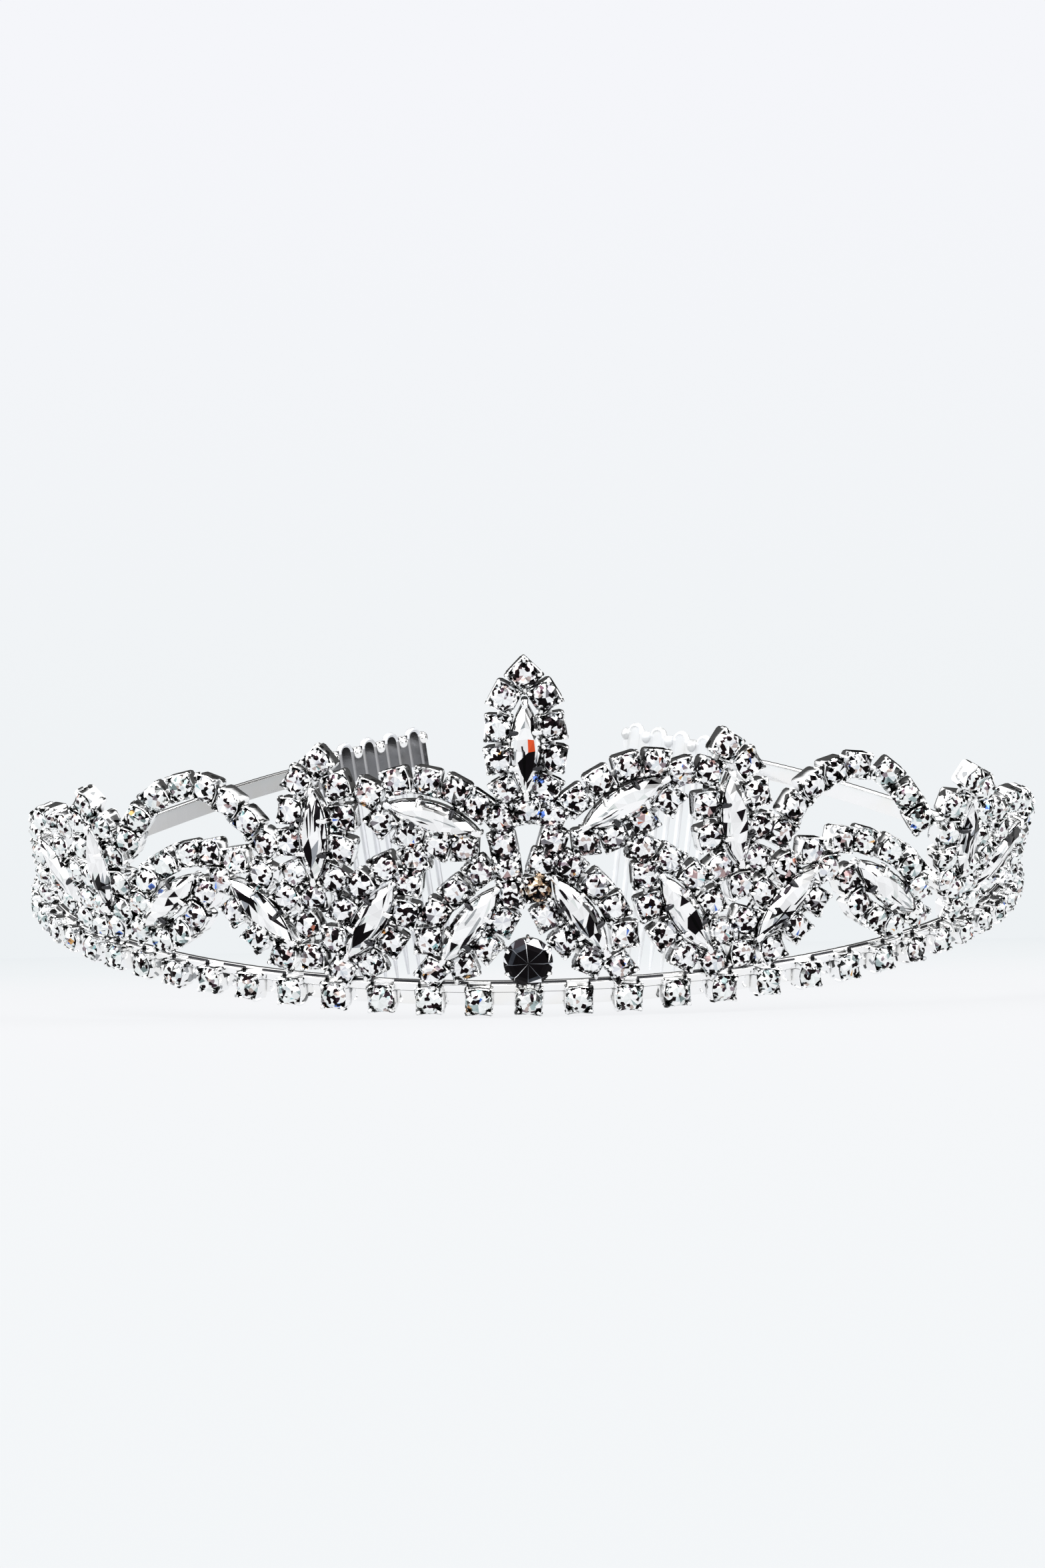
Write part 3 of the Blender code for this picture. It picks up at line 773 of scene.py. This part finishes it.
def marquise_setting():
    """An open boat-shaped cup with two claws on each side and a claw folded over each tip."""
    cup = Shape().add(*loft([
        lens_ring(5.5, 1.45, -1.25),
        lens_ring(5.85, 1.88, -0.9),
        lens_ring(5.95, 1.96, 0.60),
        lens_ring(5.88, 1.90, 0.68),
        lens_ring(5.76, 1.80, 0.60),
        lens_ring(5.76, 1.80, -0.8)]))
    side_claw = (
        (0.25, -0.5, 0.34), (0.28, 0.5, 0.34), (0.12, 1.03, 0.33), (-0.34, 1.30, 0.31), (-0.86, 1.42, 0.22))
    tip_claw = (
        (5.95, -0.5, 0.40), (6.0, 0.4, 0.42), (5.85, 0.90, 0.42), (5.45, 1.12, 0.38), (4.95, 1.16, 0.26))
    for along in (-2.1, 2.1):
        for side in (-1, 1):
            path = [(along, side * (SETTING_EDGE + v), z) for v, z, _ in side_claw]
            claw = tube(path, [size for *_, size in side_claw], flat=CLAW_FLAT, up=(0.0, side, 0.0))
            # Painted dark reflections: the claws on one diagonal are tinted near-black.
            cup.add(*claw, PAINTED_DARK if along * side > 0 else BRIGHT)
    for end in (-1, 1):
        path = [(end * u, 0.0, z) for u, z, _ in tip_claw]
        cup.add(*tube(path, [size for *_, size in tip_claw], flat=CLAW_FLAT, up=(end, 0.0, 0.0)))
    return cup


def marquise_cut(shade, rng):
    """A marquise: a table folded along a wandering keel from tip to tip, then two rows of crown facets."""
    per_side = MARQUISE_SIDES
    count = 2 * per_side
    rings = ((0.66, 0.62, MARQUISE_TABLE), (0.82, 0.80, 1.23), (1.0, 1.0, 0.80), (1.0, 1.0, 0.67))
    points = [(0.0, 0.0, MARQUISE_CULET)]
    for length, width, z in rings:
        outline = lens_outline(MARQUISE_HALF_LENGTH * length, MARQUISE_HALF_WIDTH * width, per_side)
        points += [(u, v, z) for u, v in outline]
    ring = [1 + count * k for k in range(len(rings))]
    keel = len(points)
    for k in range(1, per_side):
        u, v = (either_way(rng, most) for most in KEEL_WANDER)
        points.append((points[ring[0] + k][0] + u, v, MARQUISE_TABLE + rng.uniform(*KEEL_RISE)))
    faces, tints = [], []

    def cut(face, table):
        """Adds one facet, with a painted reflection tint by where it lies."""
        along = np.mean([points[i][0] for i in face])
        across = np.mean([points[i][1] for i in face])
        faces.append(face)
        tints.append(shaded(shade(along, across, table, rng), rng))

    for k in range(count):
        after = (k + 1) % count
        here, there = (keel + (j - 1 if j <= per_side else count - j - 1) for j in (k, k + 1))
        cut((ring[0] + k, ring[0] + after, here if k % per_side else there), True)
        if k % per_side and after % per_side:
            cut((here, ring[0] + after, there), True)
        for upper, lower in zip(ring[:2], ring[1:3]):
            cut((upper + k, lower + k, lower + after), False)
            cut((upper + k, lower + after, upper + after), False)
        faces.append((ring[2] + k, ring[3] + k, ring[3] + after, ring[2] + after))
        faces.append((ring[3] + k, 0, ring[3] + after))
        tints += [WHITE, GREY]
    return Shape().add(points, faces, tints)


def leaf_shade(name):
    """How a marquise's facets are painted with reflections: mostly bright, dark towards one end, and a flash
    of fire in one of them.
    """
    dark_end = DARK_ENDS.get(name, 0)

    def shade(along, across, table, rng):
        if name == FLASH_IN and table and 0 < along < FLASH_LENGTH and across < 0:
            return FLASH
        chance = DARK_ON_TABLE if table else DARK_BESIDE
        if DARK_FROM < along * dark_end < DARK_TO and rng.random() < chance:
            return draw(DARK_REFLECTIONS, rng)
        return draw(LONG_REFLECTIONS, rng)

    return shade


SETTING_TEMPLATE = marquise_setting()


def leaf_seat(centre, angle):
    """A marquise's seat: its place, along its length, across it and out of its face."""
    along, up, out = axes(*centre)
    tilt = radians(angle)
    length = along * cos(tilt) + up * sin(tilt)
    return place(*centre), length, np.cross(out, length), out


def marquise(name, centre, angle):
    """A marquise's setting as one piece, and its stone as another."""
    rng = Random(name)
    seat = leaf_seat(centre, angle)
    piece(name + "_claw_setting", Shape().put(SETTING_TEMPLATE, seat), SILVER,
          name + "_setting", SETTING_SMOOTH)
    seat = turned(seat, 0.0, [either_way(rng, most) for most in MARQUISE_SWAY], 0.0)
    cut = marquise_cut(leaf_shade(name), rng)
    own = np.concatenate(cut.points) + (rng.uniform(0, PATTERN_LENGTH), 0.0, 0.0)
    piece(name + "_marquise", Shape().put(cut, seat), NAVETTE, name + "_stone", cuts=own)


# ------ the round stone

ROUND_RADIUS, ROUND_SPOKES = 2.95, 8
# How far the spokes swing from their even places, and half their width, in radians.
SPOKE_SWING, SPOKE_HALF = 0.12, (0.012, 0.032)
# Which of the round stone's wedges are bright spokes; the painted reflections of the others, its rim and its
# crown.
BRIGHT_SPOKES = (4, 10)
SPOKE_GREY = (0.20, 0.21, 0.23)
RIM_REFLECTIONS = ((5, BLACK), (2, SPOKE_GREY), (4, WHITE))
CROWN_REFLECTIONS = ((2, BLACK), (1, (0.04, 0.045, 0.055)))


def round_cup():
    """A low round cup with six claws and a foot that stands on the band."""
    wall = ((1.6, -1.3), (2.4, -1.1), (2.88, 0.3), (2.90, 0.75), (2.86, 0.82), (2.8, 0.75), (2.5, 0.0))
    cup = Shape().add(*loft([circle(radius, level, 4 * ROUND_SPOKES) for radius, level in wall]))
    claw = (
        (2.9, 0.0, 0.22), (3.02, 0.8, 0.23), (2.98, 1.20, 0.25), (2.78, 1.44, 0.26), (2.56, 1.50, 0.20))
    for k in range(6):
        cup.add(*bent_claw(claw, 2 * pi * (k + 0.5) / 6))
    foot = [(0.0, -2.6, -0.9), (0.0, -3.6, -0.6)]
    return cup.add(*tube(foot, [1.0, 0.7], sides=10, flat=0.7))


def round_cut():
    """A round stone painted dark with reflections, with thin uneven spokes across it and a rim of dark and
    bright facets.
    """
    rng = Random("round_stone")
    wedges, sides = 2 * ROUND_SPOKES, 4 * ROUND_SPOKES
    angles = []
    for k in range(ROUND_SPOKES):
        middle = 2 * pi * k / ROUND_SPOKES + either_way(rng, SPOKE_SWING)
        half = rng.uniform(*SPOKE_HALF)
        angles += [middle - half, middle + half]
    rim_angles = [angles[0] + 2 * pi * k / sides for k in range(sides)]
    points = [(0.0, 0.0, 1.86), (0.0, 0.0, -0.7)]
    table = len(points)
    points += spots(0.64 * ROUND_RADIUS, 1.95, angles)
    star = len(points)
    points += spots(0.82 * ROUND_RADIUS, 1.62, angles)
    rim = len(points)
    points += spots(ROUND_RADIUS, 1.1, rim_angles)
    belt = len(points)
    points += spots(ROUND_RADIUS, 0.9, rim_angles)
    faces, tints = [], []
    for k in range(wedges):
        after = (k + 1) % wedges
        first, middle, last = rim + 2 * k, rim + 2 * k + 1, rim + (2 * k + 2) % sides
        faces += [
            (0, table + k, table + after), (table + k, star + k, star + after, table + after),
            (star + k, first, middle), (star + k, middle, star + after), (star + after, middle, last)]
        if k % 2 == 0:
            ray = WHITE if k in BRIGHT_SPOKES else SPOKE_GREY
            tints += [ray, ray, BLACK, ray, BLACK]
        else:
            tints += [BLACK, draw(CROWN_REFLECTIONS, rng)] + [draw(RIM_REFLECTIONS, rng) for _ in range(3)]
    for k in range(sides):
        after = (k + 1) % sides
        faces += [(rim + k, belt + k, belt + after, rim + after), (belt + k, 1, belt + after)]
        tints += [GREY, GREY]
    return Shape().add(points, faces, tints)


def round_stone():
    """The big stone over the middle of the band, painted dark with reflections, in its cup."""
    seat = (place(0.0, ROUND_HEIGHT), *axes(0.0, ROUND_HEIGHT))
    piece("round_stone_claw_cup", Shape().put(round_cup(), seat), SILVER,
          "round_stone_cup", SETTING_SMOOTH)
    cut = round_cut()
    piece("round_stone_cut", Shape().put(cut, seat), ROUND_STONE_CRYSTAL, "round_stone", cuts=cut.points[0])


# ------ headband, its link bars and the combs

# The band's ends: how far they are rounded, and the share of its height their tips keep; its edges' radius.
END_ROUND, END_HEIGHT, BAND_EDGE = 1.5, 0.35, 0.18
# A link bar and the near-black plate behind it that paints shade round it: low, high, back, front and the
# radius of the edges.
BAR, SHADOW_PLATE = (0.92, 1.92, -1.25, -0.55, 0.16), (0.74, 2.07, -1.29, -1.1, 0.05)
BAR_INSET, SHADOW_PLATE_WIDTH, BAR_SWAY = 1.5, 0.14, 0.06
# Half a comb plate's thickness, its bevel and the height of its scallops; then its beads' radius.
PLATE_HALF, PLATE_BEVEL, PLATE_SCALLOP = 0.35, 0.15, 1.5
BEAD_RADIUS = 1.05
# The wire's radius at the points where its ends taper, counted from either end.
WIRE_TIPS = {0: 0.2, -1: 0.2, 1: 0.44, -2: 0.44}


def rounded_section(low, high, back, front, radius):
    """Points round a bar's section with rounded edges, as (height, out)."""
    corners = (
        (high - radius, front - radius), (high - radius, back + radius),
        (low + radius, back + radius), (low + radius, front - radius))
    points = []
    for k, (h, out) in enumerate(corners):
        for swing in (0, 30, 60, 90):
            turn = radians(90 * k + swing)
            points.append((h + radius * sin(turn), out + radius * cos(turn)))
    return points


def headband():
    """The plain silver strip, with soft edges and round ends, and painted shade on its left arm."""
    stations = list(np.arange(-BAND_REACH, BAND_REACH + 0.1, 2.0))
    stations += [side * (BAND_REACH - inset) for side in (-1, 1) for inset in (0.4, 1.0)]
    stations.sort()
    middle = (BAND_LOW + BAND_HIGH) / 2
    rings = []
    for s in stations:
        left = BAND_REACH - abs(s)
        half = (BAND_HIGH - BAND_LOW) / 2
        if left < END_ROUND:
            half *= END_HEIGHT + (1 - END_HEIGHT) * sqrt(1 - (1 - left / END_ROUND) ** 2)
        section = rounded_section(middle - half, middle + half, BAND_BACK, BAND_FRONT, BAND_EDGE)
        rings.append(np.array([place(s, h, out) for h, out in section]))
    points, faces = loft(rings)
    tones = []
    for face in faces:
        s = stations[face[0] // len(rings[0])]
        # Painted shade: the left arm's faces darken towards its end.
        left_arm = smooth((-s - ARM_SHADE_FROM) / ARM_SHADE_OVER)
        tones.append((1.0 - ARM_SHADE * left_arm,) * 3)
    band = Shape().add(points, faces, tones)
    piece("silver_headband", band, SILVER, "headband", BAND_SMOOTH)


def bar(section, start, stop):
    """A straight-sided bar that follows the band from start to stop."""
    return loft([np.array([place(s, h, out) for h, out in section]) for s in np.linspace(start, stop, 4)])


def link_bars():
    """The bars that join the front row of cups along the band's edge, each with a near-black plate behind it
    as painted shade.
    """
    rng = Random("link_bars")
    bars = Shape()
    for k in range(-CUPS_PER_SIDE, CUPS_PER_SIDE):
        start, stop = k * BASE_PITCH + BAR_INSET, (k + 1) * BASE_PITCH - BAR_INSET
        lift = either_way(rng, BAR_SWAY)
        # Each bar, then a near-black plate a little larger behind it: painted shade round the bar's edges.
        for (low, high, *rest), past, tint in ((BAR, 0.0, BRIGHT), (SHADOW_PLATE, SHADOW_PLATE_WIDTH, PAINTED_DARK)):
            section = rounded_section(low + lift, high + lift, *rest)
            bars.add(*bar(section, start - past, stop + past), tint)
    piece("base_link_bars", bars, SILVER, None, SETTING_SMOOTH)


def comb_frame(side):
    """The comb's corner, its direction along the arm, up and out of its face, and its teeth's length."""
    start = side * (COMB_END - COMB_LOOPS * LOOP_PITCH)
    origin = place(start, 0.0, COMB_OUT)
    along, up, out = axes(start, 0.0)
    along = along * side
    rise = up * cos(COMB_LEAN) + out * sin(COMB_LEAN)
    table = place(0.0, -FRONT_CUP_HALF, FRONT_CUP_FACE)[2]
    tooth = (origin[2] - table) / rise[2] + COMB_BOTTOM + along[2] * COMB_TOOTH_WIDTH
    return (origin, along, rise, unit(np.cross(along, rise))), tooth


def comb_wires(side, tooth):
    """Five hairpin loops of wire, with their pointed legs as the teeth."""
    wires = Shape()
    reach = LOOP_PITCH / 4
    leg = np.linspace(COMB_BOTTOM - tooth + 0.4, COMB_TOP, 9)
    for k in range(COMB_LOOPS):
        middle = (k + 0.5) * LOOP_PITCH
        bend = [(middle - reach * cos(a), COMB_TOP + reach * sin(a)) for a in np.linspace(0, pi, 9)[1:-1]]
        path = [(middle - reach, v) for v in leg] + bend + [(middle + reach, v) for v in leg[::-1]]
        sizes = [COMB_WIRE] * len(path)
        for end, size in WIRE_TIPS.items():
            sizes[end] = size
        points, faces = tube([(u, v, 0.0) for u, v in path], sizes)
        heights = [np.mean([points[i][1] for i in face]) for face in faces]
        on_plate = [COMB_BOTTOM < height < COMB_TOP for height in heights]
        # Painted shade: the wire over the plate takes the plate's shade, the teeth below it their own.
        wires.add(points, faces, [(COMB_SHADE if on else TOOTH_SHADE)[side] for on in on_plate])
    return wires


def comb_plate(side):
    """The scalloped plate across the loops."""
    sections = []
    steps = 12
    for k in range(COMB_LOOPS * steps + 1):
        u = k * LOOP_PITCH / steps
        top = COMB_TOP - 0.4 + PLATE_SCALLOP * abs(sin(pi * u / LOOP_PITCH)) ** 0.6
        u = min(COMB_LOOPS * LOOP_PITCH - 0.1, max(0.1, u))
        sections.append(np.array([
            (u, COMB_BOTTOM, -PLATE_HALF), (u, top - PLATE_BEVEL, -PLATE_HALF),
            (u, top, PLATE_BEVEL - PLATE_HALF), (u, top, PLATE_HALF - PLATE_BEVEL),
            (u, top - PLATE_BEVEL, PLATE_HALF), (u, COMB_BOTTOM, PLATE_HALF)]))
    # Painted shade darkens the plate, more on the left.
    return Shape().add(*loft(sections), COMB_SHADE[side])


def comb_beads(side):
    """The binding beads between the loops."""
    beads = Shape()
    for k in range(COMB_LOOPS + 1):
        u = min(COMB_LOOPS * LOOP_PITCH - 0.5, max(0.5, k * LOOP_PITCH))
        path = [(u, COMB_TOP - 0.35 + BEAD_RADIUS * cos(a), 0.0) for a in np.linspace(pi, 0, 9)]
        sizes = [BEAD_RADIUS * max(0.12, sin(a)) for a in np.linspace(0.1, pi - 0.1, 9)]
        # Painted shade darkens the right comb's beads.
        beads.add(*tube(path, sizes, sides=12), BEAD_SHADE[side])
    return beads


def comb(name, side):
    """A wire comb: hairpin loops, the plate that stands for the CAD's comb, and beads."""
    seat, tooth = comb_frame(side)
    left = side < 0
    # The left plate is in the darker silver, which paints shade on it.
    for shape, kind, material, node in (
            (comb_plate(side), "_plate", SHADED_COMB_SILVER if left else WIRE_SILVER, name),
            (comb_wires(side, tooth), "_teeth", WIRE_SILVER, None),
            (comb_beads(side), "_beads", SILVER if left else WIRE_SILVER, None)):
        piece(name + kind, Shape().put(shape, seat), material, node, BAND_SMOOTH)


# ------ building the tiara

def build():
    """Every piece of the tiara."""
    headband()
    link_bars()
    front_row = [(k * BASE_PITCH, 0.0) for k in range(-CUPS_PER_SIDE, CUPS_PER_SIDE + 1)]
    chain("base_chain", front_row, False, links=False)
    for name, (stops, closed) in lattice_chains().items():
        chain(name, stops, closed)
    for name, (centre, angle) in LEAVES.items():
        marquise(name, centre, angle)
    round_stone()
    comb("left_comb", -1)
    comb("right_comb", 1)


# ------ floor, light and camera

FLOOR_RADIUS, FLOOR_SIDES, FLOOR_GLOW = 0.9, 96, 0.87
# Ramps of (place, colour): the floor's by the distance from the middle in metres, the backdrop's by height.
FLOOR_SHADES = (
    (0.10, (0.933, 0.943, 0.963)), (0.35, (0.894, 0.924, 0.943)), (0.80, (0.874, 0.909, 0.932)))
BACKDROP_SHADES = (
    (0.0, (0.855, 0.885, 0.905)), (0.10, (0.875, 0.900, 0.918)), (0.35, (0.913, 0.921, 0.956)))
# What the silver and the stones mirror: a cloudy studio from black to white, and how strong it is.
STUDIO_CLOUDS, STUDIO_SHADES, STUDIO_POWER = 2.1, ((0.39, 0.01), (0.42, 0.5), (0.45, 1.2)), 1.6
# The dark cards in the studio: which way each lies, and where its soft edge starts and ends.
DARK_CARDS = (
    ((0.995, 0.075, 0.05), 0.86, 0.92), ((0.0, 1.0, 0.0), 0.56, 0.74), ((0.0, 0.0, 1.0), 0.93, 0.97))
CARD_SHADE = 0.04
# Each soft light: its name, place and size in metres, and power in watts; then their common aim and up.
LIGHTS = (("key", (-0.5, -0.7, 0.9), (0.6, 0.6), 8.0), ("fill", (0.7, -0.3, 0.6), (0.4, 0.7), 4.0))
LIGHTS_AIM, LIGHTS_UP = (0.0, 0.0, 0.02), (0.0, 0.02, 1.0)
# The camera's place in the CAD model's own axes, in millimetres, its angles and its lens.
CAMERA_AT = (0.38, -279.8, 8.84)
CAMERA_PITCH, CAMERA_YAW, CAMERA_ROLL = radians(3.5), radians(0.13), radians(-1.16)
SENSOR, LENS = 36.0, 53.57


def floor():
    """A pale disc whose far edge fades into the backdrop."""
    mesh = bpy.data.meshes.new("floor")
    level = min(0.0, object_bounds()[0][2])
    mesh.from_pydata(circle(FLOOR_RADIUS, level, FLOOR_SIDES), [], [tuple(range(FLOOR_SIDES))])
    mat, tree, shader = shaded_material("pale_floor")
    away = tree.node("VectorMath", {0: tree.coords()}, operation="LENGTH")
    tree.feed(shader, {
        "Base Color": (0.06, 0.06, 0.06, 1), "Roughness": 0.8, "Specular IOR Level": 0.0,
        "Emission Color": tree.ramp(away.outputs["Value"], FLOOR_SHADES), "Emission Strength": FLOOR_GLOW})
    mesh.materials.append(mat)
    obj = shown("floor", mesh)
    obj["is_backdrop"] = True


def world():
    """A pale backdrop for the camera; for reflections, a cloudy studio with dark cards in it."""
    sky = bpy.data.worlds.new("studio")
    sky.use_nodes = True
    sky.node_tree.nodes.clear()
    tree = Tree(sky.node_tree)
    coords = tree.coords("Generated")
    light = tree.ramp(tree.noise(coords, STUDIO_CLOUDS, 2.0), STUDIO_SHADES)
    for towards, edge, dark_from in DARK_CARDS:
        facing = tree.node("VectorMath", {0: coords, 1: towards}, operation="DOT_PRODUCT")
        card = tree.ramp(facing.outputs["Value"], [(edge, 1.0), (dark_from, CARD_SHADE)])
        light = tree.multiply(light, card)
    height = tree.node("SeparateXYZ", {"Vector": coords}).outputs["Z"]
    seen = tree.node("Background", {"Color": tree.ramp(height, BACKDROP_SHADES)})
    lit = tree.node("Background", {"Color": light, "Strength": STUDIO_POWER})
    is_camera = tree.node("LightPath").outputs["Is Camera Ray"]
    mix = tree.node("MixShader", {
        "Fac": is_camera, 1: lit.outputs["Background"], 2: seen.outputs["Background"]})
    tree.node("OutputWorld", {"Surface": mix.outputs["Shader"]})
    bpy.context.scene.world = sky


def matrix_of(x_axis, y_axis, z_axis, spot):
    """The matrix of an object with these axes at this place."""
    return Matrix([*np.array((x_axis, y_axis, z_axis, spot)).T.tolist(), (0.0, 0.0, 0.0, 1.0)])


def area_light(name, spot, size, power):
    """A soft light that faces the tiara."""
    light = bpy.data.lights.new(name, "AREA")
    light.shape = "RECTANGLE"
    light.size, light.size_y = size
    light.energy = power
    back = unit(np.subtract(spot, LIGHTS_AIM))
    right = unit(np.cross(LIGHTS_UP, back))
    shown(name, light).matrix_world = matrix_of(right, np.cross(back, right), back, spot)


def camera():
    """The camera at the photograph's viewing angle."""
    level_forward = np.array((-sin(CAMERA_YAW), cos(CAMERA_YAW), 0.0))
    level_right = np.array((cos(CAMERA_YAW), sin(CAMERA_YAW), 0.0))
    upright = np.array((0.0, 0.0, 1.0))
    forward = level_forward * cos(CAMERA_PITCH) + upright * sin(CAMERA_PITCH)
    up = upright * cos(CAMERA_PITCH) - level_forward * sin(CAMERA_PITCH)
    x_axis = level_right * cos(CAMERA_ROLL) + up * sin(CAMERA_ROLL)
    y_axis = up * cos(CAMERA_ROLL) - level_right * sin(CAMERA_ROLL)
    data = bpy.data.cameras.new("camera")
    data.sensor_width, data.lens = SENSOR, LENS
    data.clip_start, data.clip_end = 0.01, 20.0
    obj = shown("camera", data)
    obj.matrix_world = matrix_of(x_axis, y_axis, -forward, (np.array(CAMERA_AT) + SHIFT) * MM)
    bpy.context.scene.camera = obj


build()
floor()
world()
for soft_light in LIGHTS:
    area_light(*soft_light)
camera()
bpy.context.scene.view_settings.view_transform = "Standard"
